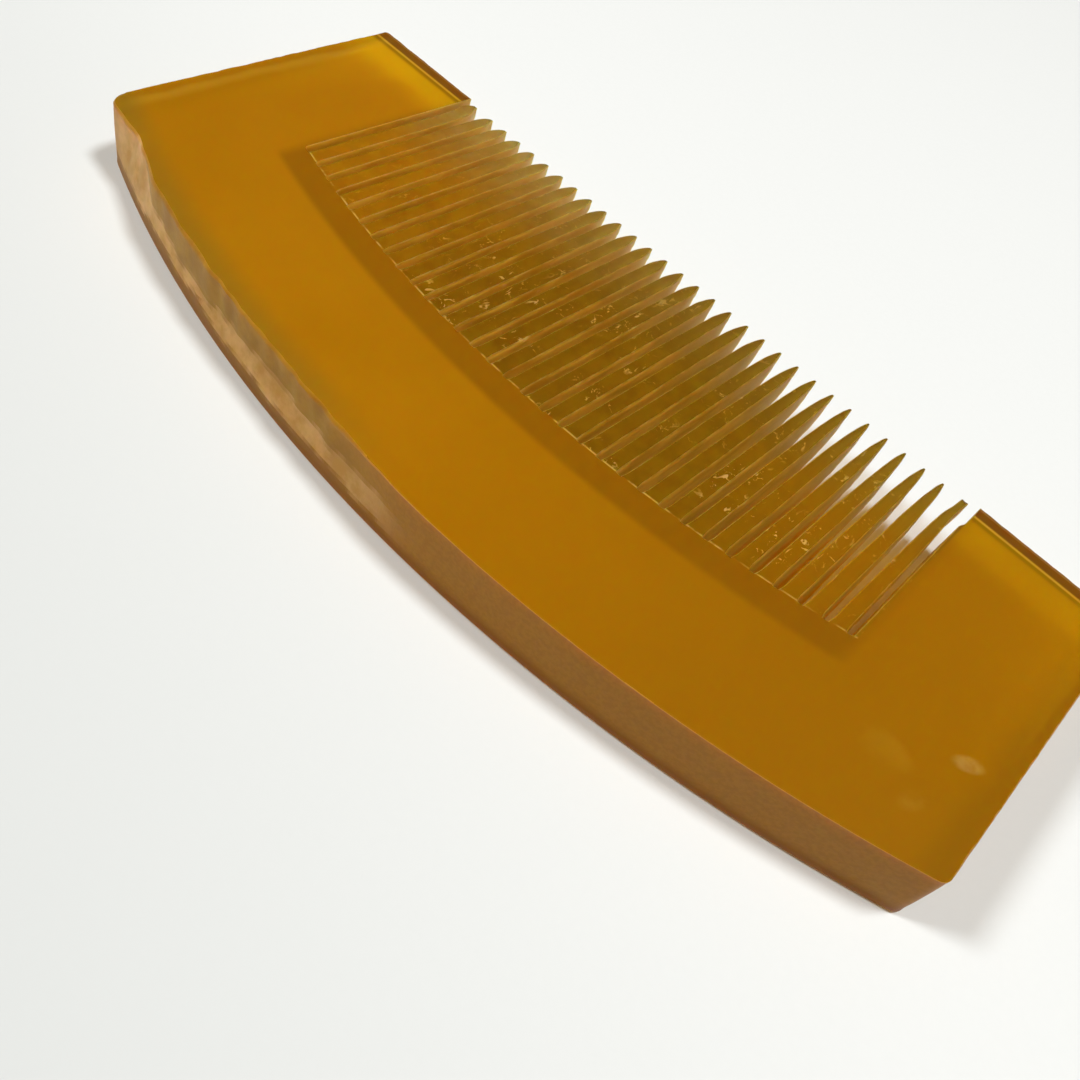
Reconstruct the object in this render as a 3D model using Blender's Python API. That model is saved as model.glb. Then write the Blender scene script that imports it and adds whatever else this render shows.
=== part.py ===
"""One-piece pocket comb of translucent amber horn-like material, lying flat.

Frame: +Z up, +X along the comb's length, +Y from the back towards the tooth
tips. The origin is at the middle of the underside. All sizes are in metres.

The comb is cut from a single slab. It is modelled region by region so that
every saw slot stays open: a curved spine, a solid guard block at each end and
thirty-one separate teeth, all rigid to each other.
"""
import math

import bmesh
import bpy

# ---------------------------------------------------------------- dimensions
PITCH = 0.0020              # tooth to tooth
TOOTH_COUNT = 31
LENGTH_FRONT = 0.0905       # across the two guards at the tooth tips
LENGTH_BACK = 0.0896        # across the two back corners
END_DEPTH = 0.0318          # front edge to back corner, along an end
BACK_RISE = 0.0080          # how far the back arc bows beyond its corners
WIDTH = END_DEPTH + BACK_RISE

THICKNESS = 0.0061          # spine and the rear of the guards
FRONT_THICKNESS = 0.0021    # at the tooth tips and guard fronts
TAPER_LENGTH = 0.0203       # underside rises over this length to the front

TIP_SETBACK = 0.0003        # tooth tips behind the guard fronts
ROOT_DEPTH = 0.0248         # tooth tip line to the bottom of the middle slots
ROOT_RISE = 0.0042          # slot bottoms bow this much over the tooth array
ROOT_HALF = 0.0312          # half-chord over which ROOT_RISE is measured
ARRAY_SHIFT = -0.0006       # tooth array centre from the comb's centre
LEFT_WALL_X = -0.0321       # slot-side wall of the left guard
RIGHT_WALL_X = 0.0309       # slot-side wall of the right guard

TOOTH_WIDTH = 0.00133       # at the root
TIP_WIDTH = 0.00016         # flat left at the very tip
TIP_POINT_LENGTH = 0.0018   # governs how quickly a tooth narrows to its point
FIRST_TOOTH_SCALE = 1.15    # the end teeth were sawn a little wide and narrow
LAST_TOOTH_SCALE = 0.84

LEFT_CORNER_R = 0.0018      # back corners in plan
RIGHT_CORNER_R = 0.0010
FRONT_CORNER_R = 0.0005
EDGE_BREAK = 0.00030        # softened outer arrises
GAP = 0.00030               # clearance between neighbouring regions

FRONT_Y = WIDTH / 2
BACK_Y = -WIDTH / 2
CORNER_Y = FRONT_Y - END_DEPTH
TIP_Y = FRONT_Y - TIP_SETBACK
ROOT_MID_Y = TIP_Y - ROOT_DEPTH
TAPER_Y = FRONT_Y - TAPER_LENGTH

ARC_STEPS = 30              # segments along the spine
CORNER_STEPS = 4
TOOTH_STATIONS = 8


# ------------------------------------------------------------------- helpers
def arc_radius(half_chord, rise):
    return (half_chord * half_chord + rise * rise) / (2 * rise)


def back_y(x):
    """The convex back, a circular arc through both back corners."""
    r = arc_radius(LENGTH_BACK / 2, BACK_RISE)
    return BACK_Y + r - math.sqrt(r * r - x * x)


def root_y(x):
    """The line of slot bottoms, a shallower arc bowed towards the back."""
    r = arc_radius(ROOT_HALF, ROOT_RISE)
    return ROOT_MID_Y + r - math.sqrt(r * r - x * x)


def underside_z(y):
    """Flat under the spine, rising evenly to the thin front edge."""
    if y <= TAPER_Y:
        return 0.0
    return (THICKNESS - FRONT_THICKNESS) * (y - TAPER_Y) / TAPER_LENGTH


def fillet(before, corner, after, radius, steps):
    """Points of a circular fillet at a plan corner, in walking order."""
    ax, ay = before[0] - corner[0], before[1] - corner[1]
    bx, by = after[0] - corner[0], after[1] - corner[1]
    la, lb = math.hypot(ax, ay), math.hypot(bx, by)
    ax, ay, bx, by = ax / la, ay / la, bx / lb, by / lb
    half = math.acos(max(-1.0, min(1.0, ax * bx + ay * by))) / 2
    reach = radius / math.tan(half)
    mx, my = ax + bx, ay + by
    lm = math.hypot(mx, my)
    cx = corner[0] + mx / lm * radius / math.sin(half)
    cy = corner[1] + my / lm * radius / math.sin(half)
    start = math.atan2(corner[1] + ay * reach - cy, corner[0] + ax * reach - cx)
    end = math.atan2(corner[1] + by * reach - cy, corner[0] + bx * reach - cx)
    turn = (end - start + math.pi) % (2 * math.pi) - math.pi
    return [
        (cx + radius * math.cos(start + turn * i / steps),
         cy + radius * math.sin(start + turn * i / steps))
        for i in range(steps + 1)
    ]


def amber(name, tone):
    """Honey-amber translucent horn: glossy, warm and a little cloudy."""
    material = bpy.data.materials.new(name)
    material.use_nodes = True
    shader = material.node_tree.nodes["Principled BSDF"]
    shader.inputs["Base Color"].default_value = (
        0.38 * tone, 0.15 * tone, 0.004 * tone, 1.0)
    shader.inputs["Roughness"].default_value = 0.25
    shader.inputs["Metallic"].default_value = 0.0
    shader.inputs["IOR"].default_value = 1.54
    return material


def add_object(name, bm, material):
    bmesh.ops.recalc_face_normals(bm, faces=bm.faces)
    mesh = bpy.data.meshes.new(name)
    bm.to_mesh(mesh)
    bm.free()
    mesh.materials.append(material)
    obj = bpy.data.objects.new(name, mesh)
    bpy.context.scene.collection.objects.link(obj)
    return obj


def plate(name, outline, material, soften):
    """A plate over a plan outline whose underside follows underside_z.

    The taper line is put in as a real edge wherever the outline crosses it.
    soften(a, b) says whether the arris over plan points a and b is outer.
    """
    points = []
    for i, (x0, y0) in enumerate(outline):
        x1, y1 = outline[(i + 1) % len(outline)]
        points.append((x0, y0))
        if (y0 - TAPER_Y) * (y1 - TAPER_Y) < -1e-14:
            t = (TAPER_Y - y0) / (y1 - y0)
            points.append((x0 + t * (x1 - x0), TAPER_Y))
    bm = bmesh.new()
    top = [bm.verts.new((x, y, THICKNESS)) for x, y in points]
    low = [bm.verts.new((x, y, underside_z(y))) for x, y in points]
    count = len(points)
    bm.faces.new(top)
    for i in range(count):
        j = (i + 1) % count
        bm.faces.new((low[i], low[j], top[j], top[i]))
    crossing = [i for i, (x, y) in enumerate(points) if abs(y - TAPER_Y) < 1e-9]
    if len(crossing) == 2:
        a, b = crossing
        bm.faces.new([low[i] for i in range(a, b + 1)][::-1])
        bm.faces.new([low[i % count] for i in range(b, a + count + 1)][::-1])
    else:
        bm.faces.new(low[::-1])
    bmesh.ops.recalc_face_normals(bm, faces=bm.faces)
    bm.edges.ensure_lookup_table()
    outer = []
    for ring in (top, low):
        for i in range(count):
            j = (i + 1) % count
            if soften(points[i], points[j]):
                outer.append(bm.edges.get((ring[i], ring[j])))
    bmesh.ops.bevel(bm, geom=outer, offset=EDGE_BREAK, offset_type="OFFSET",
                    segments=2, profile=0.5, affect="EDGES",
                    clamp_overlap=True)
    return add_object(name, bm, material)


def tooth_half_width(distance, scale):
    """Half the tooth's width at a distance back from its tip."""
    full = TOOTH_WIDTH * scale / 2
    reach = ROOT_DEPTH
    shape = distance / (distance + TIP_POINT_LENGTH)
    shape_root = reach / (reach + TIP_POINT_LENGTH)
    return max(TIP_WIDTH / 2, full * shape / shape_root)


def tooth(name, x, scale, material):
    """One sawn tooth: flat top, tapering underside, lance-shaped in plan."""
    root = root_y(x) + GAP
    length = TIP_Y - root
    stations = []
    for i in range(TOOTH_STATIONS + 1):
        # closer together near the tip, where the outline curves most
        stations.append(TIP_Y - length * (i / TOOTH_STATIONS) ** 1.9)
    if TAPER_Y > root + 1e-5:
        nearest = min(range(1, TOOTH_STATIONS),
                      key=lambda k: abs(stations[k] - TAPER_Y))
        stations[nearest] = TAPER_Y
    bm = bmesh.new()
    rings = []
    for y in stations:
        half = tooth_half_width(TIP_Y - y, scale)
        y_left = y_right = y
        if y == stations[-1]:
            y_left = root_y(x - half) + GAP
            y_right = root_y(x + half) + GAP
        rings.append([
            bm.verts.new((x - half, y_left, underside_z(y_left))),
            bm.verts.new((x + half, y_right, underside_z(y_right))),
            bm.verts.new((x + half, y_right, THICKNESS)),
            bm.verts.new((x - half, y_left, THICKNESS)),
        ])
    for near, far in zip(rings, rings[1:]):
        for i in range(4):
            j = (i + 1) % 4
            bm.faces.new((near[i], near[j], far[j], far[i]))
    bm.faces.new(rings[0][::-1])
    bm.faces.new(rings[-1])
    return add_object(name, bm, material)


# ------------------------------------------------------------------- the comb
for leftover in list(bpy.data.objects):
    bpy.data.objects.remove(leftover, do_unlink=True)

# The spine: a curved bar between the back arc and the line of slot bottoms.
spine_left = LEFT_WALL_X + GAP
spine_right = RIGHT_WALL_X - GAP
xs = [spine_left + (spine_right - spine_left) * i / ARC_STEPS
      for i in range(ARC_STEPS + 1)]
spine_outline = [(x, back_y(x)) for x in xs]
spine_outline += [(x, root_y(x)) for x in reversed(xs)]


def on_back(a, b):
    return (abs(a[1] - back_y(a[0])) < 1e-6 and abs(b[1] - back_y(b[0])) < 1e-6
            and abs(a[0] - b[0]) > 1e-6)


plate("spine", spine_outline, amber("amber_spine", 1.0), on_back)


def guard(name, wall_x, side, corner_radius, material):
    """Solid end block from the back arc to the front edge, on one side."""
    front = (side * LENGTH_FRONT / 2, FRONT_Y)
    corner = (side * LENGTH_BACK / 2, CORNER_Y)
    inner_front = (wall_x, FRONT_Y)
    steps = 6
    back = [(wall_x + (corner[0] - wall_x) * i / steps) for i in range(steps)]
    back = [(x, back_y(x)) for x in back]
    back = [p for p in back if math.dist(p, corner) > corner_radius * 1.2]
    outline = back
    outline += fillet(back[-1], corner, front, corner_radius, CORNER_STEPS)
    outline += fillet(corner, front, inner_front, FRONT_CORNER_R, 2)
    outline += [inner_front]

    def outer(a, b):
        return not (abs(a[0] - wall_x) < 1e-9 and abs(b[0] - wall_x) < 1e-9)

    return plate(name, outline, material, outer)


guard("left_guard", LEFT_WALL_X, -1, LEFT_CORNER_R, amber("amber_left", 1.04))
guard("right_guard", RIGHT_WALL_X, 1, RIGHT_CORNER_R, amber("amber_right", 0.98))

tooth_material = amber("amber_teeth", 0.85)
for number in range(1, TOOTH_COUNT + 1):
    centre = (number - (TOOTH_COUNT + 1) / 2) * PITCH + ARRAY_SHIFT
    scale = 1.0
    if number == 1:
        scale = FIRST_TOOTH_SCALE
    elif number == TOOTH_COUNT:
        scale = LAST_TOOTH_SCALE
    tooth("tooth_%02d" % number, centre, scale, tooth_material)
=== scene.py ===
"""Looks of the one-piece amber comb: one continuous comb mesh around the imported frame."""
import math

import bpy
import bmesh
import numpy as np
from mathutils import Matrix, Vector, geometry, noise


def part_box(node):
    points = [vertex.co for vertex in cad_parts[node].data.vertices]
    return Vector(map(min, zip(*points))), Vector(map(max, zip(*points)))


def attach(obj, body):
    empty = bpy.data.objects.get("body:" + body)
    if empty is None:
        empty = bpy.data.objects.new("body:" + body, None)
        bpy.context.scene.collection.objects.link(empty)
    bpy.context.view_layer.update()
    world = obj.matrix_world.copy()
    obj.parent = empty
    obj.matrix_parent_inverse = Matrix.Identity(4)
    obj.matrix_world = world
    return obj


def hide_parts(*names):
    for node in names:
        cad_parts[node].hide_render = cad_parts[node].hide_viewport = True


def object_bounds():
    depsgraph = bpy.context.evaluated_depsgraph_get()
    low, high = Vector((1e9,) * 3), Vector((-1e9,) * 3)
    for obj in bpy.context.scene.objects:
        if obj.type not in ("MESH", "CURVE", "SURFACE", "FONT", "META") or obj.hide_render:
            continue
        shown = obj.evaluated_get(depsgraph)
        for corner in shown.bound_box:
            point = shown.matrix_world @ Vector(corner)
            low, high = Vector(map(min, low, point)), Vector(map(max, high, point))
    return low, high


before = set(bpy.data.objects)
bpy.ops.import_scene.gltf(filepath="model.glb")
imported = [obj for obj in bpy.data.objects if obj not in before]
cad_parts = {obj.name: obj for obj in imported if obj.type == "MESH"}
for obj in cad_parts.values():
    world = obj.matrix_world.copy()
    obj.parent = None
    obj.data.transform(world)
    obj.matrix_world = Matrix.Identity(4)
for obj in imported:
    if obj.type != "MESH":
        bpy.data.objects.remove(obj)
cad_low, cad_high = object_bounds()
MM = 0.001

# ---------------------------------------------------------------- camera
camera_data = bpy.data.cameras.new("camera")
camera_data.sensor_width = 36.0
camera_data.sensor_height = 36.0
camera_data.lens = 33.21
camera_data.clip_start = 0.002
camera_data.clip_end = 20.0
camera = bpy.data.objects.new("camera", camera_data)
bpy.context.scene.collection.objects.link(camera)
camera.matrix_world = Matrix((
    (0.6932, -0.6648, 0.2787, 0.03037),
    (0.6742, 0.4611, -0.5770, -0.05411),
    (0.2550, 0.5878, 0.7678, 0.05897),
    (0.0, 0.0, 0.0, 1.0)))
bpy.context.scene.camera = camera

# ---------------------------------------------------------------- dimensions
# In millimetres, the same design as the CAD solids.
PITCH = 2.0
COUNT = 31
HALF_FRONT = (cad_high.x - cad_low.x) / 2 / MM
HALF_BACK = HALF_FRONT - 0.45
FRONT_Y = cad_high.y / MM
BACK_Y = cad_low.y / MM
THICK = cad_high.z / MM
END_DEPTH = 31.8
BACK_RISE = (FRONT_Y - BACK_Y) - END_DEPTH
FRONT_THICK = 2.1
TAPER_Y = FRONT_Y - 20.3
TIP_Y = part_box("tooth_16")[1].y / MM
ROOT_MID_Y = TIP_Y - 24.8
ROOT_RISE = 4.2
ROOT_HALF = 31.2
ARRAY_SHIFT = -0.6
LEFT_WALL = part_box("left_guard")[1].x / MM
RIGHT_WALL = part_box("right_guard")[0].x / MM


def arc_radius(half, rise):
    return (half * half + rise * rise) / (2 * rise)


R_BACK = arc_radius(HALF_BACK, BACK_RISE)
R_ROOT = arc_radius(ROOT_HALF, ROOT_RISE)


def back_y(x):
    return BACK_Y + R_BACK - math.sqrt(R_BACK ** 2 - x * x)


def root_y(x):
    return ROOT_MID_Y + R_ROOT - math.sqrt(R_ROOT ** 2 - x * x)


def smooth(a, b, x):
    t = min(1.0, max(0.0, (x - a) / (b - a)))
    return t * t * (3 - 2 * t)


def under(y):
    """Height of the underside: flat at the back, rising evenly to the front."""
    slope = (THICK - FRONT_THICK) / (FRONT_Y - TAPER_Y)
    blend = 0.8
    t = y - TAPER_Y
    if t <= -blend:
        return 0.0
    if t < blend:
        return slope * (t + blend) ** 2 / (4 * blend)
    return slope * t


def wave(x, y, z, scale, seed=0.0):
    return noise.noise(Vector((x / scale + seed, y / scale - seed, z / scale + 2.7 * seed)))


# ---------------------------------------------------------------- plan outline
# Counter-clockwise from above. Each point is (x, y, kind, arris), the last how wide its rounded arris is.
BACK, END_R, FRONT, WALL, ROOT, TIP, END_L = range(7)
outline = []


def add(x, y, kind, arris=0.05):
    if outline and math.hypot(outline[-1][0] - x, outline[-1][1] - y) < 0.035:
        return
    outline.append((x, y, kind, arris))


def fillet(before, corner, after, radius, steps):
    a = (Vector(before) - Vector(corner)).normalized()
    b = (Vector(after) - Vector(corner)).normalized()
    half = math.acos(max(-1, min(1, a.dot(b)))) / 2
    reach = radius / math.tan(half)
    centre = Vector(corner) + (a + b).normalized() * radius / math.sin(half)
    p, q = Vector(corner) + a * reach - centre, Vector(corner) + b * reach - centre
    s, e = math.atan2(p.y, p.x), math.atan2(q.y, q.x)
    turn = (e - s + math.pi) % (2 * math.pi) - math.pi
    return [(centre.x + radius * math.cos(s + turn * i / steps),
             centre.y + radius * math.sin(s + turn * i / steps)) for i in range(steps + 1)]


def run(a, b, step, kind, ends=(0, 0)):
    n = max(1, round(math.dist(a, b) / step))
    for i in range(ends[0], n + ends[1]):
        add(a[0] + (b[0] - a[0]) * i / n, a[1] + (b[1] - a[1]) * i / n, kind)


CORNER_Y = FRONT_Y - END_DEPTH
LEFT_R, RIGHT_R = 1.8, 1.0
corner_l, corner_r = (-HALF_BACK, CORNER_Y), (HALF_BACK, CORNER_Y)
front_l, front_r = (-HALF_FRONT, FRONT_Y), (HALF_FRONT, FRONT_Y)
near_l = (-HALF_BACK + 2.0, back_y(-HALF_BACK + 2.0))
near_r = (HALF_BACK - 2.0, back_y(HALF_BACK - 2.0))
fil_l = fillet(front_l, corner_l, near_l, LEFT_R, 10)
fil_r = fillet(near_r, corner_r, front_r, RIGHT_R, 8)
fil_fr = fillet(corner_r, front_r, (RIGHT_WALL, FRONT_Y), 0.5, 5)
fil_fl = fillet((LEFT_WALL, FRONT_Y), front_l, corner_l, 0.5, 5)

# back arc, left to right
x0, x1 = fil_l[-1][0] + 0.25, fil_r[0][0] - 0.25
n_back = round((x1 - x0) / 0.24)
for p in fil_l:
    add(p[0], p[1], BACK)
for i in range(n_back + 1):
    x = x0 + (x1 - x0) * i / n_back
    add(x, back_y(x), BACK)
for p in fil_r:
    add(p[0], p[1], BACK)
run(fil_r[-1], fil_fr[0], 0.3, END_R, (1, 0))
for p in fil_fr:
    add(p[0], p[1], END_R)
run(fil_fr[-1], (RIGHT_WALL + 0.12, FRONT_Y), 0.3, FRONT, (1, 1))


def tooth_params(n):
    """(centre x, root half width, point length, tip half width, tip shift)."""
    x = (n - (COUNT + 1) / 2) * PITCH + ARRAY_SHIFT
    w = noise.noise(Vector((n * 0.73, 4.1, 0.0)))
    v = noise.noise(Vector((n * 0.91, 9.7, 0.0)))
    half = 0.70 + 0.02 * w
    point = 2.8 - 0.6 * smooth(16, 5, n) + 0.35 * v
    tip = 0.085
    shift = 0.05 * v
    if n == 1:
        half, point, tip, shift = 0.74, 2.0, 0.20, -0.42
    if n == COUNT:
        half, point, tip, shift = 0.66, 4.0, 0.33, 0.26
    return x, half, point, tip, shift


STATIONS = 50
station_t = [(i / STATIONS) ** 1.45 for i in range(STATIONS + 1)]


def tooth_side(n, side):
    """Points of one flank from the root to the tip."""
    x, half, point, tip, shift = tooth_params(n)
    root = root_y(x + side * half)
    length = TIP_Y - root
    ys = [TIP_Y - length * t for t in station_t]
    k = min(range(2, STATIONS - 1), key=lambda j: abs(ys[j] - TAPER_Y))
    ys[k] = TAPER_Y
    points = []
    for y in reversed(ys):
        d = TIP_Y - y
        shape = (1.0 - max(0.0, 1.0 - d / point) ** 1.9) * (0.94 + 0.06 * smooth(0.0, 14.0, d))
        slender = (d / (d + 2.2)) / (24.8 / 27.0)
        shape += (slender - shape) * smooth(13, 26, n)
        h = max(tip, half * shape)
        if n == 1 or n == COUNT:
            h = max(h, tip)
        wander = 0.035 * wave(x + side * 3.1, y, 0.0, 4.0, n * 1.7) \
            + 0.018 * wave(x + side, y, 3.0, 0.9, n * 0.6)
        wander *= smooth(0.0, 1.5, d)
        centre = x + shift * smooth(4.0, 0.0, d)
        points.append((centre + side * h + wander, y, min(0.075, 0.30 * h)))
    return points


# front, right to left: guard, slots and teeth, guard
previous_root = None
for n in range(COUNT, 0, -1):
    right = tooth_side(n, 1)
    left = tooth_side(n, -1)
    if n == COUNT:
        # wall of the right guard, then the bottom of the last slot
        add(RIGHT_WALL + 0.03, FRONT_Y - 0.03, WALL)
        wall_bottom = root_y(RIGHT_WALL)
        ys = [FRONT_Y - 0.12 - (FRONT_Y - 0.12 - wall_bottom - 0.08) * i / 70 for i in range(71)]
        k = min(range(1, 70), key=lambda j: abs(ys[j] - TAPER_Y))
        ys[k] = TAPER_Y
        for y in ys:
            add(RIGHT_WALL + 0.02 * wave(0, y, 1.0, 2.0, 5.5) - 0.26 * smooth(2.9, 3.7, FRONT_Y - y), y, WALL, 0.07)
        start = (RIGHT_WALL - 0.26, wall_bottom)
    else:
        start = previous_root
    # slot bottom, from the previous wall to this tooth's right flank
    end = right[0]
    for i in range(1, 6):
        t = i / 6
        sag = 0.05 * math.sin(math.pi * t)
        add(start[0] + (end[0] - start[0]) * t,
            start[1] + (end[1] - start[1]) * t - sag, ROOT, 0.09)
    rx, lx, ty = right[-1][0], left[-1][0], TIP_Y
    cx, rad = (rx + lx) / 2, (rx - lx) / 2
    for p in right[1:-1]:
        if p[1] < ty - rad * 1.2:
            add(p[0], p[1], WALL, p[2])
    # rounded tip
    for i in range(7):
        a = math.pi * i / 6
        add(cx + rad * math.cos(a), ty - rad + rad * math.sin(a) * 1.0, TIP)
    for p in reversed(left[1:-1]):
        if p[1] < ty - rad * 1.2:
            add(p[0], p[1], WALL, p[2])
    previous_root = left[0]
start = previous_root
end = (LEFT_WALL, root_y(LEFT_WALL))
for i in range(1, 6):
    t = i / 6
    add(start[0] + (end[0] - start[0]) * t,
        start[1] + (end[1] - start[1]) * t - 0.05 * math.sin(math.pi * t), ROOT, 0.09)
ys = [end[1] + 0.08 + (FRONT_Y - 0.12 - end[1] - 0.08) * i / 70 for i in range(71)]
k = min(range(1, 70), key=lambda j: abs(ys[j] - TAPER_Y))
ys[k] = TAPER_Y
for y in ys:
    add(LEFT_WALL + 0.02 * wave(0, y, 7.0, 2.0, 3.5), y, WALL, 0.07)
add(LEFT_WALL - 0.03, FRONT_Y - 0.03, WALL)
run((LEFT_WALL - 0.12, FRONT_Y), fil_fl[0], 0.3, FRONT, (0, 0))
for p in fil_fl:
    add(p[0], p[1], END_L)
run(fil_fl[-1], fil_l[0], 0.3, END_L, (1, 0))

# right flanks are listed root to tip, so points of a tip that fold back are dropped
points = np.array([(p[0], p[1]) for p in outline])
kinds = np.array([p[2] for p in outline])
arris = np.array([p[3] for p in outline])
keep = np.ones(len(points), bool)
for i in range(len(points)):
    if kinds[i] == WALL and points[i, 1] > TIP_Y - 0.3:
        j0, j1 = i - 1, (i + 1) % len(points)
        if kinds[j1] == TIP or kinds[j0] == TIP:
            t = points[j1] if kinds[j1] == TIP else points[j0]
            if points[i, 1] > t[1] - 0.01:
                keep[i] = False
points, kinds, arris = points[keep], kinds[keep], arris[keep]
count = len(points)

# outward normals in plan, with a limited mitre
ahead = np.roll(points, -1, 0) - points
ahead /= np.linalg.norm(ahead, axis=1)[:, None]
behind = np.roll(ahead, 1, 0)
na = np.stack([ahead[:, 1], -ahead[:, 0]], 1)
nb = np.stack([behind[:, 1], -behind[:, 0]], 1)
normal = na + nb
normal /= np.maximum(np.linalg.norm(normal, axis=1), 1e-6)[:, None]
mitre = 1 / np.clip((normal * na).sum(1), 0.6, 1.0)

# ---------------------------------------------------------------- profile rings
# Each ring holds, for every outline point, how far it is inset and its height.
WALL_LEVELS = 12
rings = []          # list of (inset array, height array, outward array)
bottom = np.array([under(y) for _, y in points])
top = np.full(count, THICK)
for i in range(count):
    if kinds[i] in (TIP, WALL) and LEFT_WALL + 0.3 < points[i, 0] < RIGHT_WALL - 0.2:
        d = TIP_Y - points[i, 1]
        u = max(0.0, 1.0 - d / 3.6)
        bottom[i] += 1.15 * (1.0 - math.sqrt(1.0 - min(0.98, u * u)))

        u = max(0.0, 1.0 - d / 0.9)
        top[i] -= 0.30 * (1.0 - math.sqrt(1.0 - min(0.98, u * u)))

inner = np.isin(kinds, (WALL, ROOT, TIP))
chip = np.array([max(0.0, wave(x, y, 5.0, 0.8, 11.0) - 0.22) * 0.5 for x, y in points])
edge_top = np.where(inner, arris * (1 + 2.0 * chip), 0.10)
edge_top = np.where(kinds == TIP, 0.035, edge_top)
edge_low = np.where(inner, arris, 0.28)
edge_low = np.where(kinds == TIP, 0.035, edge_low)

# hand-ground bevel along the left part of the back
ground = np.zeros(count)
facet = np.zeros(count)      # how far below the top the bevel reaches
inset_top = edge_top.copy()
step_in, step_low, step_high = np.zeros(count), np.full(count, 0.3), np.full(count, 0.6)
for i in range(count):
    x, y = points[i]
    if kinds[i] == BACK:
        g = smooth(6.0, -8.0, x)
        ground[i] = g
        w = wave(x, 0.0, 0.0, 5.5, 1.3) + 0.5 * wave(x, 0.0, 0.0, 1.9, 8.1)
        v = wave(x, 0.0, 0.0, 7.5, 6.2) + 0.45 * wave(x, 0.0, 0.0, 2.6, 2.2)
        # a scraped step part of the way up, then a steep facet to the top face
        step_in[i] = g * max(0.10, 0.46 + 0.42 * w) * smooth(-HALF_BACK + 0.5, -HALF_BACK + 5.0, x)
        step_low[i] = 0.29 + 0.15 * v + 0.06 * wave(x, 0.0, 0.0, 0.9, 4.6)
        step_high[i] = 0.54 + 0.20 * w + 0.05 * wave(x, 0.0, 0.0, 1.0, 9.3) + 0.30 * smooth(-26.0, -38.0, x)
        inset_top[i] = step_in[i] + 0.07 + g * (0.16 + 0.12 * v)
        facet[i] = 0.07 + g * (0.40 + 0.30 * v)
        inset_top[i] = max(0.05, inset_top[i])
        facet[i] = max(0.06, min(4.2, facet[i]))
    elif kinds[i] in (END_L, END_R, FRONT):
        inset_top[i] = 0.11 + 0.05 * wave(x, y, 0.0, 1.5, 4.4) + 0.05 * wave(x, y, 0.0, 0.6, 3.1)
        inset_top[i] = max(0.05, inset_top[i])
        facet[i] = inset_top[i]
    else:
        facet[i] = edge_top[i]

rings.append((edge_low.copy(), bottom.copy()))
rings.append((edge_low * 0.30, bottom + edge_low * 0.30))
rings.append((edge_low * 0.0, bottom + edge_low))
low = bottom + edge_low
high = top - facet
for k in range(1, WALL_LEVELS):
    t = k / WALL_LEVELS
    z = low + (high - low) * t
    inset = np.zeros(count)
    for i in range(count):
        x, y = points[i]
        if kinds[i] in (WALL, ROOT):
            rough = 0.030 * wave(x, y, z[i], 1.1, 3.0) + 0.022 * wave(x, y, z[i] * 1.6, 0.35, 7.0)
            # saw marks run down the slot, slightly across its depth
            rough += 0.010 * wave(y * 0.2, z[i] * 6.0, x * 0.2, 1.0, 2.0)
            if kinds[i] == WALL:
                rough *= smooth(0.0, 1.2, TIP_Y - y)
                if LEFT_WALL + 0.3 < x < RIGHT_WALL - 0.2:
                    # the saw kerf is a little narrower below than at the top face
                    rough -= 0.14 * (1 - t) * smooth(0.5, 6.0, TIP_Y - y)
            inset[i] = rough + 0.02
        elif kinds[i] == BACK:
            g = ground[i]
            inset[i] = 0.05 + 0.05 * wave(x, 0, z[i], 2.2, 1.0) * (0.4 + 0.6 * g) \
                - 0.04 * math.sin(math.pi * t) + step_in[i] * smooth(step_low[i], step_high[i], z[i] / THICK)
        elif kinds[i] in (END_L, END_R, FRONT):
            inset[i] = 0.03 + 0.03 * wave(x, y, z[i], 1.6, 2.0)
    rings.append((inset, z))
# the bevel or edge break: its lower edge, two points along it, and the top ring
rings.append((np.where(kinds == BACK, 0.03 + 0.03 * ground + step_in, 0.0), high))
mid = np.zeros(count)
for i in range(count):
    if kinds[i] == BACK:
        mid[i] = -0.03 * ground[i] * (1 + wave(points[i, 0], 0, 0, 2.4, 5.0))
rings.append((step_in + (inset_top - step_in) * 0.36 + mid, top - facet * 0.52))
rings.append((step_in + (inset_top - step_in) * 0.68 + mid * 0.6, top - facet * 0.20))
rings.append((inset_top.copy(), top.copy()))

verts = []
for inset, z in rings:
    at = points - normal * (inset * mitre)[:, None]
    verts.extend((float(at[i, 0]), float(at[i, 1]), float(z[i])) for i in range(count))
ring_count = len(rings)


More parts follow.
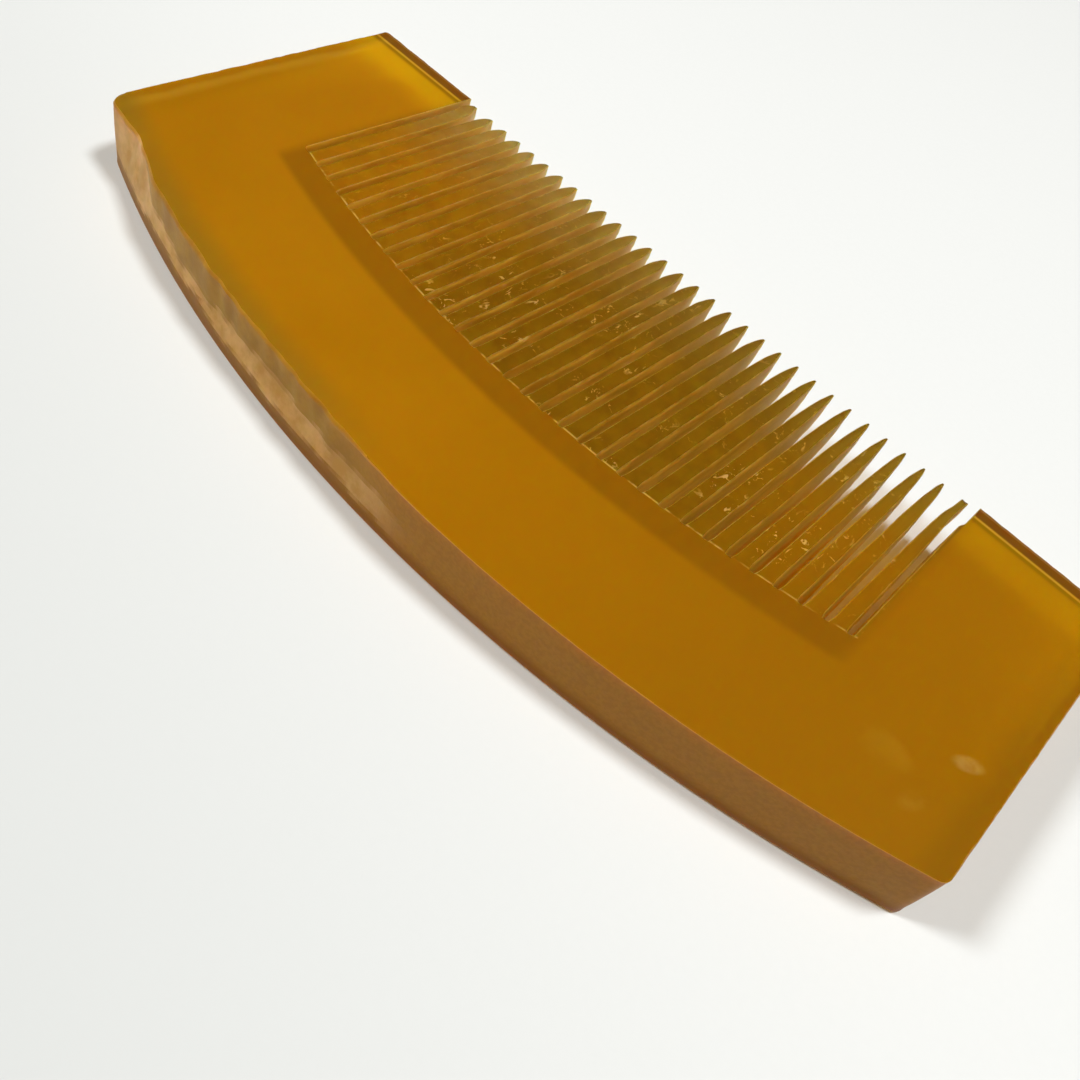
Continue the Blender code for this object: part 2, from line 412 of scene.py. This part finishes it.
def cap(ring, height):
    """Triangles over one ring, with an even set of points inside it."""
    rim = [Vector(verts[ring * count + i][:2]) for i in range(count)]
    extra = []
    step = 1.6
    for iy in range(int(BACK_Y / step) - 1, int(FRONT_Y / step) + 1):
        for ix in range(int(-HALF_FRONT / step) - 1, int(HALF_FRONT / step) + 1):
            x = (ix + 0.5 * (iy % 2)) * step
            y = iy * step * 0.92 + 0.15
            if x * x >= R_BACK ** 2 or abs(x) > HALF_BACK - 0.9 or y < back_y(x) + 0.9:
                continue
            if y > FRONT_Y - 0.9:
                continue
            if LEFT_WALL - 0.7 < x < RIGHT_WALL + 0.7 and y > root_y(max(-31, min(31, x))) - 0.7:
                continue
            extra.append(Vector((x, y)))
    for x in np.arange(-HALF_FRONT + 0.9, HALF_FRONT - 0.8, 1.0):
        if not LEFT_WALL - 0.5 < x < RIGHT_WALL + 0.5:
            extra.append(Vector((float(x), TAPER_Y)))
    edges = [(i, (i + 1) % count) for i in range(count)]
    out = geometry.delaunay_2d_cdt(rim + extra, edges, [], 1, 1e-7)
    vs, _, faces, orig = out[0], out[1], out[2], out[3]
    index = []
    for v, o in zip(vs, orig):
        rims = [k for k in o if k < count]
        if rims:
            index.append(ring * count + rims[0])
        else:
            index.append(len(verts))
            verts.append((v.x, v.y, height(v.x, v.y)))
    return [[index[k] for k in f] for f in faces]


faces = []
for r in range(ring_count - 1):
    for i in range(count):
        j = (i + 1) % count
        faces.append((r * count + i, r * count + j, (r + 1) * count + j, (r + 1) * count + i))
faces.extend(tuple(f) for f in cap(ring_count - 1, lambda x, y: THICK))
faces.extend(tuple(reversed(f)) for f in cap(0, lambda x, y: under(y)))

mesh = bpy.data.meshes.new("comb")
mesh.from_pydata([tuple(c * MM for c in v) for v in verts], [], faces)
mesh.shade_smooth()
mesh.set_sharp_from_angle(angle=math.radians(38))
# the polished faces stay flat right up to their rims
rims = set(range(count)) | set(range((ring_count - 1) * count, ring_count * count))
for edge in mesh.edges:
    if edge.vertices[0] in rims and edge.vertices[1] in rims and abs(edge.vertices[0] - edge.vertices[1]) in (1, count - 1):
        edge.use_edge_sharp = True

# finish masks, one value for each face: hand-ground outer walls, sawn slot walls,
# and the worn arrises between them and the polished faces
face_count = len(mesh.polygons)
sawn_mask, ground_mask = np.zeros(face_count), np.zeros(face_count)
worn_mask, scraped_lit_mask = np.zeros(face_count), np.zeros(face_count)
low_shade_mask, bevel_mask = np.zeros(face_count), np.zeros(face_count)
for r in range(ring_count - 1):
    for i in range(count):
        k = r * count + i
        edge = r < 2 or r >= ring_count - 4
        worn_mask[k] = 1.0 if edge else 0.0
        if inner[i] and inner[(i + 1) % count]:
            sawn_mask[k] = 1.0 if r >= 1 else 0.6
        elif kinds[i] == BACK and r >= ring_count - 4:
            ground_mask[k] = (1.0, 1.0, 0.95)[r - ring_count + 4] * max(0.5, ground[i]) if r - ring_count + 4 < 3 else 0.5
        else:
            ground_mask[k] = 1.0 if not edge else 0.7
        if kinds[i] == BACK:
            level = (rings[r][1][i] + rings[r + 1][1][i]) / 2 / THICK
            # the scraped ridge on the back wall: partly its lighter scraped finish, partly painted light where it
            # leans up towards the lamps
            scraped_lit_mask[k] = min(1.0, step_in[i] * 2.2 + 0.5 * ground[i]) * smooth(step_low[i] - 0.06, step_low[i] + 0.06, level) \
                * smooth(step_high[i] + 0.10, step_high[i] - 0.04, level)
            # painted shade on the back wall below the scraped step
            low_shade_mask[k] = ground[i] * smooth(step_low[i] + 0.05, step_low[i] - 0.05, level)
            bevel_mask[k] = ground[i] * smooth(step_high[i] - 0.02, step_high[i] + 0.10, level)
for name, values in (("sawn", sawn_mask), ("ground", ground_mask), ("worn", worn_mask), ("scraped_lit", scraped_lit_mask),
                     ("low_shade", low_shade_mask), ("bevel", bevel_mask)):
    mesh.attributes.new(name, "FLOAT", "FACE").data.foreach_set("value", values.astype(np.float32))

comb = bpy.data.objects.new("comb", mesh)
bpy.context.scene.collection.objects.link(comb)

check = bmesh.new()
check.from_mesh(mesh)
open_edges = sum(1 for e in check.edges if not e.is_manifold)
volume = check.calc_volume(signed=True)
check.free()
print("comb mesh:", len(mesh.vertices), "verts", len(mesh.polygons), "faces,", open_edges,
      "open edges, volume mm3", round(volume / MM ** 3, 1))

# ---------------------------------------------------------------- materials


def nodes_of(name):
    material = bpy.data.materials.new(name)
    material.use_nodes = True
    tree = material.node_tree
    tree.nodes.clear()
    return material, tree.nodes, tree.links


material, nodes, links = nodes_of("amber")


def node(kind, **settings):
    made = nodes.new(kind)
    for key, value in settings.items():
        setattr(made, key, value)
    return made


def put(socket, value):
    if isinstance(value, bpy.types.NodeSocket):
        links.new(value, socket)
    elif isinstance(value, tuple) and len(value) == 3 and socket.type == "RGBA":
        socket.default_value = (*value, 1.0)
    else:
        socket.default_value = value


def mix(a, b, factor):
    """A mix of two colours."""
    made = node("ShaderNodeMix", data_type="RGBA")
    put(made.inputs[0], factor)
    put(made.inputs[6], a)
    put(made.inputs[7], b)
    return made.outputs[2]


def maths(operation, a, b=0.0, c=0.0, clamp=False):
    made = node("ShaderNodeMath", operation=operation, use_clamp=clamp)
    put(made.inputs[0], a)
    put(made.inputs[1], b)
    put(made.inputs[2], c)
    return made.outputs[0]


def lerp(a, b, factor):
    """A mix of two numbers."""
    made = node("ShaderNodeMix", data_type="FLOAT")
    put(made.inputs[0], factor)
    put(made.inputs[2], a)
    put(made.inputs[3], b)
    return made.outputs[0]


place = node("ShaderNodeTexCoord").outputs["Object"]


def grain(scale, detail=2.0, rough=0.5, stretch=None, twist=0.0):
    vector = place
    if stretch:
        mapping = node("ShaderNodeMapping")
        links.new(place, mapping.inputs["Vector"])
        mapping.inputs["Scale"].default_value = stretch
        vector = mapping.outputs[0]
    made = node("ShaderNodeTexNoise")
    links.new(vector, made.inputs["Vector"])
    made.inputs["Scale"].default_value = scale
    made.inputs["Detail"].default_value = detail
    made.inputs["Roughness"].default_value = rough
    made.inputs["Distortion"].default_value = twist
    return made.outputs["Fac"]


def ramp(value, low, high):
    made = node("ShaderNodeMapRange", interpolation_type="SMOOTHSTEP")
    put(made.inputs["Value"], value)
    put(made.inputs["From Min"], low)
    put(made.inputs["From Max"], high)
    return made.outputs["Result"]


is_sawn = node("ShaderNodeAttribute", attribute_name="sawn").outputs["Fac"]
is_ground = node("ShaderNodeAttribute", attribute_name="ground").outputs["Fac"]
is_worn = node("ShaderNodeAttribute", attribute_name="worn").outputs["Fac"]

out = node("ShaderNodeOutputMaterial")
bsdf = node("ShaderNodeBsdfPrincipled")
# a share of the lamp light passes straight through the resin, so its shadow is tinted
passing = node("ShaderNodeBsdfTransparent")
passing.inputs["Color"].default_value = (1.0, 0.70, 0.16, 1.0)
through = node("ShaderNodeMixShader")
put(through.inputs[0], maths("MULTIPLY", node("ShaderNodeLightPath").outputs["Is Shadow Ray"], lerp(0.36, 0.72, is_sawn)))
links.new(bsdf.outputs[0], through.inputs[1])
links.new(passing.outputs[0], through.inputs[2])
links.new(through.outputs[0], out.inputs["Surface"])

cloud = grain(60.0, 3.0)
fine = grain(420.0, 4.0, 0.6)
pores = grain(2600.0, 3.0, 0.6)
saw = grain(900.0, 4.0, 0.6, stretch=(1.0, 0.22, 1.0))

is_scraped_lit = node("ShaderNodeAttribute", attribute_name="scraped_lit").outputs["Fac"]
is_low_shade = node("ShaderNodeAttribute", attribute_name="low_shade").outputs["Fac"]
is_bevel = node("ShaderNodeAttribute", attribute_name="bevel").outputs["Fac"]
axes = node("ShaderNodeSeparateXYZ")
links.new(place, axes.inputs[0])
east, north, up = axes.outputs[0], axes.outputs[1], axes.outputs[2]

# distance from the centre of the root arc tells the teeth from the spine
centre_y = (ROOT_MID_Y + R_ROOT) * MM
reach = maths("SQRT", maths("ADD", maths("MULTIPLY", east, east),
                            maths("POWER", maths("SUBTRACT", north, centre_y), 2.0)))
off_centre = maths("ABSOLUTE", maths("SUBTRACT", east, (LEFT_WALL + RIGHT_WALL) / 2 * MM))
half_row = (RIGHT_WALL - LEFT_WALL) / 2 * MM
in_row = ramp(off_centre, half_row + 0.0001, half_row - 0.0001)
in_teeth = maths("MULTIPLY", in_row, ramp(reach, (R_ROOT + 0.03) * MM, (R_ROOT - 0.05) * MM))
# painted highlight: a thin light line along the root of the teeth
root_highlight = maths("MULTIPLY", in_row, maths("MULTIPLY", ramp(reach, (R_ROOT - 0.13) * MM, (R_ROOT - 0.04) * MM),
                                            ramp(reach, (R_ROOT + 0.12) * MM, (R_ROOT + 0.03) * MM)))
# painted shade: a darker band on the spine just behind the root line, where the slot ends show through the resin
root_painted_shade = maths("MULTIPLY", ramp(off_centre, half_row + 0.0010, half_row - 0.0006),
                  ramp(reach, (R_ROOT + 3.25) * MM, (R_ROOT + 2.35) * MM))
to_tip = ramp(north, (TIP_Y - 13.0) * MM, (TIP_Y - 0.5) * MM)

# painted shade and painted light: the dark bands and light lines that the clouded resin shows of its own ends and
# front edge from inside are painted into the top face's colour
end_slope = (HALF_FRONT - HALF_BACK) / END_DEPTH
half_here = maths("MULTIPLY_ADD", north, end_slope, (HALF_FRONT - end_slope * FRONT_Y) * MM)
from_right = maths("SUBTRACT", half_here, east)
from_left = maths("ADD", half_here, east)
from_front = maths("SUBTRACT", FRONT_Y * MM, north)
wobble = maths("MULTIPLY", maths("SUBTRACT", grain(180.0, 3.0), 0.5), 0.0010)
from_right = maths("ADD", from_right, wobble)
from_left = maths("ADD", from_left, wobble)
right_end_shade = ramp(from_right, 0.0030, 0.0008)
left_end_highlight = maths("MULTIPLY", ramp(from_left, 0.0008, 0.0014), ramp(from_left, 0.0026, 0.0015))
left_end_shade = ramp(from_left, 0.0016, 0.0010)
front_shade_band = ramp(from_front, 0.00140, 0.00122)
front_highlight_line = maths("MULTIPLY", ramp(from_front, 0.00130, 0.00142), ramp(from_front, 0.00168, 0.00152))
front_shade_line = maths("MULTIPLY", ramp(from_front, 0.00160, 0.00172), ramp(from_front, 0.00225, 0.00190))
front_painted_glow = maths("MULTIPLY", ramp(from_front, 0.0018, 0.0025), ramp(from_front, 0.0080, 0.0026))
back_reach = maths("SQRT", maths("ADD", maths("MULTIPLY", east, east),
                                 maths("POWER", maths("SUBTRACT", north, (BACK_Y + R_BACK) * MM), 2.0)))
from_back = maths("ADD", maths("SUBTRACT", R_BACK * MM, back_reach), wobble)
back_band = maths("MULTIPLY", ramp(from_back, 0.0034, 0.0004), ramp(east, 0.004, -0.014))
outside_row = maths("SUBTRACT", 1.0, in_row)

POLISHED_A, POLISHED_B = (0.62, 0.302, 0.002), (0.585, 0.280, 0.001)
GROUND_A, GROUND_B = (0.38, 0.172, 0.002), (0.33, 0.142, 0.001)
SCRAPED_LIT_A, SCRAPED_LIT_B = (0.66, 0.39, 0.13), (0.50, 0.27, 0.055)
colour = mix(POLISHED_A, POLISHED_B, ramp(cloud, 0.35, 0.65))
colour = mix(colour, (0.49, 0.235, 0.001), maths("MULTIPLY", ramp(east, -0.004, 0.036), 0.85))
# painted shade behind the root line
colour = mix(colour, (0.37, 0.170, 0.001), maths("MULTIPLY", root_painted_shade, 0.85))
# painted shade along the right and left ends, and a painted light line along the left end
colour = mix(colour, (0.36, 0.185, 0.002), maths("MULTIPLY", right_end_shade, 0.50))
colour = mix(colour, (0.52, 0.27, 0.004), maths("MULTIPLY", left_end_shade, 0.45))
colour = mix(colour, (0.74, 0.46, 0.030), maths("MULTIPLY", left_end_highlight, 0.45))
# painted light: a brighter yellow zone behind the front edge of the guards, stronger on the left guard
colour = mix(colour, (0.90, 0.56, 0.002), maths("MULTIPLY", maths("MULTIPLY", front_painted_glow, outside_row),
                                                lerp(0.55, 0.17, ramp(east, -0.01, 0.01))))
colour = mix(colour, (0.38, 0.25, 0.015), maths("MULTIPLY", back_band, 0.75))


def smudge(x, y, along, across, turn):
    """A soft cloudy patch under the polish, around one point of the top face."""
    dx = maths("SUBTRACT", east, x * MM)
    dy = maths("SUBTRACT", north, y * MM)
    c, s = math.cos(turn), math.sin(turn)
    u = maths("DIVIDE", maths("ADD", maths("MULTIPLY", dx, c), maths("MULTIPLY", dy, s)), along * MM)
    v = maths("DIVIDE", maths("SUBTRACT", maths("MULTIPLY", dy, c), maths("MULTIPLY", dx, s)), across * MM)
    far = maths("ADD", maths("MULTIPLY", u, u), maths("MULTIPLY", v, v))
    return maths("MULTIPLY", ramp(far, 1.0, 0.1), ramp(fine, 0.30, 0.62))


colour = mix(colour, (0.80, 0.58, 0.16), maths("MULTIPLY", smudge(41.7, -3.1, 1.5, 0.8, 0.6), 0.40))
colour = mix(colour, (0.76, 0.52, 0.06), maths("MULTIPLY", smudge(40.3, -8.6, 1.7, 0.9, 1.1), 0.22))
colour = mix(colour, (0.72, 0.50, 0.03), maths("MULTIPLY", smudge(37.0, -7.0, 2.6, 1.6, 0.2), 0.16))
# on the guards, the front edge as seen through the resin: bands of painted shade, a painted light line, and a lighter
# tan strip right along the edge
colour = mix(colour, (0.28, 0.19, 0.002), maths("MULTIPLY", maths("MULTIPLY", front_shade_line, outside_row), 0.55))
colour = mix(colour, (0.24, 0.10, 0.010), maths("MULTIPLY", maths("MULTIPLY", front_shade_band, outside_row), 0.85))
colour = mix(colour, (0.46, 0.27, 0.090), maths("MULTIPLY", maths("MULTIPLY", ramp(from_front, 0.00048, 0.00030), outside_row), 0.60))
colour = mix(colour, (0.95, 0.62, 0.060), maths("MULTIPLY", maths("MULTIPLY", front_highlight_line, outside_row), 0.55))
# the teeth are painted darker than the spine, painted shade of the shaded paper seen through them, and lighter at the
# left and right ends of the row; towards the tips they are painted lighter grey-tan, painted light where lit paper
# shows through, darker there towards the right
tooth = mix((0.350, 0.222, 0.002), (0.290, 0.178, 0.001), ramp(fine, 0.35, 0.65))
tooth = mix(tooth, mix((0.68, 0.355, 0.003), (0.58, 0.295, 0.002), ramp(fine, 0.35, 0.65)), ramp(east, -0.006, -0.030))
tooth = mix(tooth, (0.52, 0.275, 0.001), ramp(east, 0.010, 0.030))
tooth = mix(tooth, mix(mix((0.60, 0.46, 0.13), (0.48, 0.35, 0.08), ramp(fine, 0.35, 0.65)),
                       (0.33, 0.215, 0.022), ramp(east, -0.024, 0.006)), to_tip)
colour = mix(colour, tooth, in_teeth)
# painted highlight along the root line
colour = mix(colour, (0.95, 0.66, 0.14), maths("MULTIPLY", root_highlight, ramp(grain(700.0, 2.0), 0.36, 0.60)))
# painted shade near the floor: the outer walls are darker in their lowest 1.8 mm
wall = mix(mix(GROUND_A, GROUND_B, ramp(pores, 0.35, 0.65)), (0.27, 0.105, 0.001), ramp(up, 0.0018, 0.0005))
# painted shade on the lower part of the back wall, below the scraped step
wall = mix(wall, (0.25, 0.105, 0.002), maths("MULTIPLY", is_low_shade, 0.8))
# lighter scraped ridge: partly its scraped finish, partly painted light
wall = mix(wall, mix(SCRAPED_LIT_A, SCRAPED_LIT_B, ramp(fine, 0.35, 0.65)), is_scraped_lit)
wall = mix(wall, mix((0.38, 0.205, 0.010), (0.30, 0.150, 0.005), ramp(fine, 0.35, 0.65)), is_bevel)
colour = mix(colour, wall, is_ground)
# the slot walls are painted lighter grey-tan towards the tips, painted light where lit paper shows through, and darker
# there towards the right
sawn = mix(mix((0.56, 0.385, 0.040), (0.42, 0.270, 0.015), ramp(saw, 0.35, 0.65)),
           mix((0.60, 0.47, 0.15), (0.46, 0.34, 0.08), ramp(saw, 0.35, 0.65)), to_tip)
sawn = mix(sawn, (0.45, 0.32, 0.04), maths("MULTIPLY", to_tip, ramp(east, -0.020, 0.010)))
# painted light: the slot walls are lighter low down, away from the tips, where the deep slots get little light
sawn = mix(sawn, (0.86, 0.66, 0.12), maths("MULTIPLY", ramp(up, 0.0050, 0.0020), ramp(to_tip, 0.6, 0.0)))
sawn = mix(sawn, mix(tooth, (0.56, 0.36, 0.06), ramp(grain(500.0, 3.0), 0.40, 0.66)), is_worn)
# painted highlight: a few thin glints along the worn arrises
arris_glint = ramp(grain(330.0, 1.0, 0.5, stretch=(1.0, 0.16, 1.0)), 0.735, 0.77)
sawn = mix(sawn, (0.95, 0.82, 0.55), maths("MULTIPLY", maths("MULTIPLY", is_worn, arris_glint), 0.7))
colour = mix(colour, sawn, is_sawn)
specks = maths("MAXIMUM", ramp(grain(900.0, 4.0, 0.7, twist=1.6), 0.590, 0.68),
               ramp(grain(1700.0, 2.0, 0.5, stretch=(1.0, 0.35, 1.0), twist=0.8), 0.64, 0.72))
specks = maths("MULTIPLY", maths("MULTIPLY", specks, ramp(grain(210.0, 1.0), 0.43, 0.58)), in_teeth)
specks = maths("MULTIPLY", maths("MULTIPLY", specks, ramp(east, -0.034, -0.006)), lerp(1.0, 0.35, to_tip))
colour = mix(colour, (0.70, 0.50, 0.21), maths("MULTIPLY", specks, 0.42))
put(bsdf.inputs["Base Color"], colour)
put(bsdf.inputs["Roughness"], lerp(lerp(lerp(0.10, 0.16, cloud), 0.42, is_ground), 0.50, is_sawn))
clear = lerp(0.58, 0.72, in_teeth)
clear = lerp(lerp(clear, 0.25, is_ground), lerp(0.25, 0.62, is_worn), is_sawn)
put(bsdf.inputs["Transmission Weight"], maths("MULTIPLY", clear, maths("SUBTRACT", 1.0, maths("MULTIPLY", specks, 0.8))))
bsdf.inputs["Subsurface Weight"].default_value = 1.0
bsdf.inputs["Subsurface Radius"].default_value = (1.0, 0.45, 0.05)
bsdf.inputs["Subsurface Scale"].default_value = 0.003
bsdf.inputs["IOR"].default_value = 1.54
put(bsdf.inputs["Specular IOR Level"], lerp(lerp(0.45, 0.06, is_ground), 0.06, is_sawn))

height = maths("ADD", maths("MULTIPLY", pores, maths("MULTIPLY", is_ground, 0.5)),
               maths("MULTIPLY", saw, is_sawn))
height = maths("ADD", height, maths("MULTIPLY", fine, maths("ADD", 0.03, maths("MULTIPLY", is_worn, 0.25))))
rise = node("ShaderNodeBump")
rise.inputs["Strength"].default_value = 0.5
rise.inputs["Distance"].default_value = 0.00008
put(rise.inputs["Height"], height)
links.new(rise.outputs[0], bsdf.inputs["Normal"])

soak = node("ShaderNodeVolumeAbsorption")
soak.inputs["Color"].default_value = (0.97, 0.90, 0.0, 1)
soak.inputs["Density"].default_value = 400.0
haze = node("ShaderNodeVolumeScatter")
haze.inputs["Color"].default_value = (1.0, 0.8, 0.3, 1)
haze.inputs["Density"].default_value = 180.0
haze.inputs["Anisotropy"].default_value = 0.4
inside = node("ShaderNodeAddShader")
links.new(soak.outputs[0], inside.inputs[0])
links.new(haze.outputs[0], inside.inputs[1])
links.new(inside.outputs[0], out.inputs["Volume"])
mesh.materials.append(material)
bpy.context.scene.cycles.volume_bounces = 6
bpy.context.scene.cycles.sample_clamp_indirect = 40.0

# ---------------------------------------------------------------- floor and light
size = 1.2
floor_mesh = bpy.data.meshes.new("floor")
floor_mesh.from_pydata([(-size, -size, -0.00005), (size, -size, -0.00005), (size, size, -0.00005), (-size, size, -0.00005)],
                       [], [(0, 1, 2, 3)])
floor = bpy.data.objects.new("floor", floor_mesh)
bpy.context.scene.collection.objects.link(floor)
paper, nodes, links = nodes_of("paper")
out = node("ShaderNodeOutputMaterial")
bsdf = node("ShaderNodeBsdfPrincipled")
links.new(bsdf.outputs[0], out.inputs["Surface"])
place = node("ShaderNodeTexCoord").outputs["Object"]
axes = node("ShaderNodeSeparateXYZ")
links.new(place, axes.inputs[0])
# painted shade: the paper is darker towards the camera's side and the left
paper_shade = ramp(maths("ADD", axes.outputs[1], maths("MULTIPLY", axes.outputs[0], 0.35)), 0.015, -0.085)
tooth_of_paper = grain(1500.0, 3.0, 0.6)
put(bsdf.inputs["Base Color"], mix(mix((0.735, 0.74, 0.715), (0.715, 0.72, 0.695), tooth_of_paper),
                                   (0.560, 0.570, 0.548), paper_shade))
bsdf.inputs["Roughness"].default_value = 0.8
floor_mesh.materials.append(paper)

world = bpy.data.worlds.new("world")
bpy.context.scene.world = world
world.use_nodes = True
room = world.node_tree.nodes["Background"]
room.inputs["Color"].default_value = (1.0, 1.0, 0.98, 1)
room.inputs["Strength"].default_value = 0.03
# behind the floor's far edge the studio is pale, while the room the gloss mirrors is dim
backdrop = world.node_tree.nodes.new("ShaderNodeBackground")
backdrop.inputs["Color"].default_value = (0.74, 0.75, 0.73, 1)
backdrop.inputs["Strength"].default_value = 1.0
choose = world.node_tree.nodes.new("ShaderNodeMixShader")
world.node_tree.links.new(world.node_tree.nodes.new("ShaderNodeLightPath").outputs["Is Camera Ray"], choose.inputs[0])
world.node_tree.links.new(room.outputs[0], choose.inputs[1])
world.node_tree.links.new(backdrop.outputs[0], choose.inputs[2])
world.node_tree.links.new(choose.outputs[0], world.node_tree.nodes["World Output"].inputs["Surface"])


def area(name, location, target, width, power, colour=(1, 1, 1)):
    data = bpy.data.lights.new(name, "AREA")
    data.shape = "DISK"
    data.size = width
    data.energy = power
    data.color = colour
    lamp = bpy.data.objects.new(name, data)
    bpy.context.scene.collection.objects.link(lamp)
    lamp.location = location
    lamp.rotation_mode = "QUATERNION"
    lamp.rotation_quaternion = (Vector(target) - Vector(location)).to_track_quat("-Z", "Y")
    return lamp


area("key", (0.27, 0.20, 0.90), (0, 0, 0), 0.20, 6.7)
area("left", (-0.68, -0.40, 0.84), (0, 0, 0), 0.26, 9.0)
area("fill", (0.12, -0.40, 0.90), (0, 0, 0), 0.80, 1.5)

view = bpy.context.scene.view_settings
view.view_transform = "Standard"
view.look = "None"
view.exposure = 0.0
view.gamma = 1.0

# ---------------------------------------------------------------- frame
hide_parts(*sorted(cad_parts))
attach(comb, "root")
